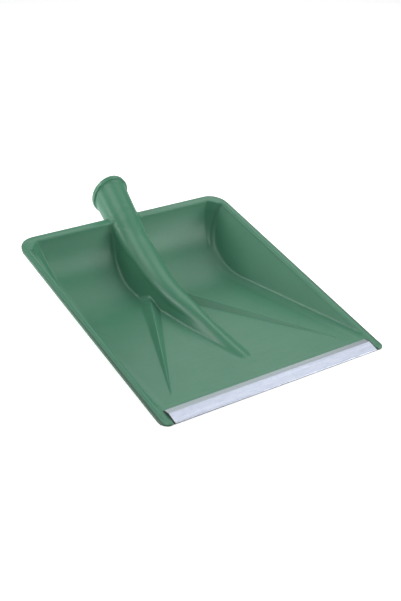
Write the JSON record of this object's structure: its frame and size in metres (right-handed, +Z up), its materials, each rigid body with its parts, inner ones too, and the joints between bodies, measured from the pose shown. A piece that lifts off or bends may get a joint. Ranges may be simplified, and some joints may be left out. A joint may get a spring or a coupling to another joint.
{
  "type": "snow shovel head",
  "caption": "Deep plastic snow shovel head with leaning side walls, a curved back, a centre ridge growing into a sloping handle socket, low ribs and a folded metal edge strip.",
  "frame": {"origin": "middle of the bounding box, at ground level", "axes": "+X across the width, +Y from the metal edge towards the handle socket, +Z up out of the scoop"},
  "size_m": [0.35, 0.4436, 0.1542],
  "materials": {
    "green_plastic": "smooth moulded polypropylene, dusty green, soft sheen",
    "edge_aluminium": "bright mill finish, fine lengthwise rolling lines"
  },
  "bodies": {
    "root": {"blade": "green_plastic", "edge_strip": "edge_aluminium"}
  },
  "joints": []
}
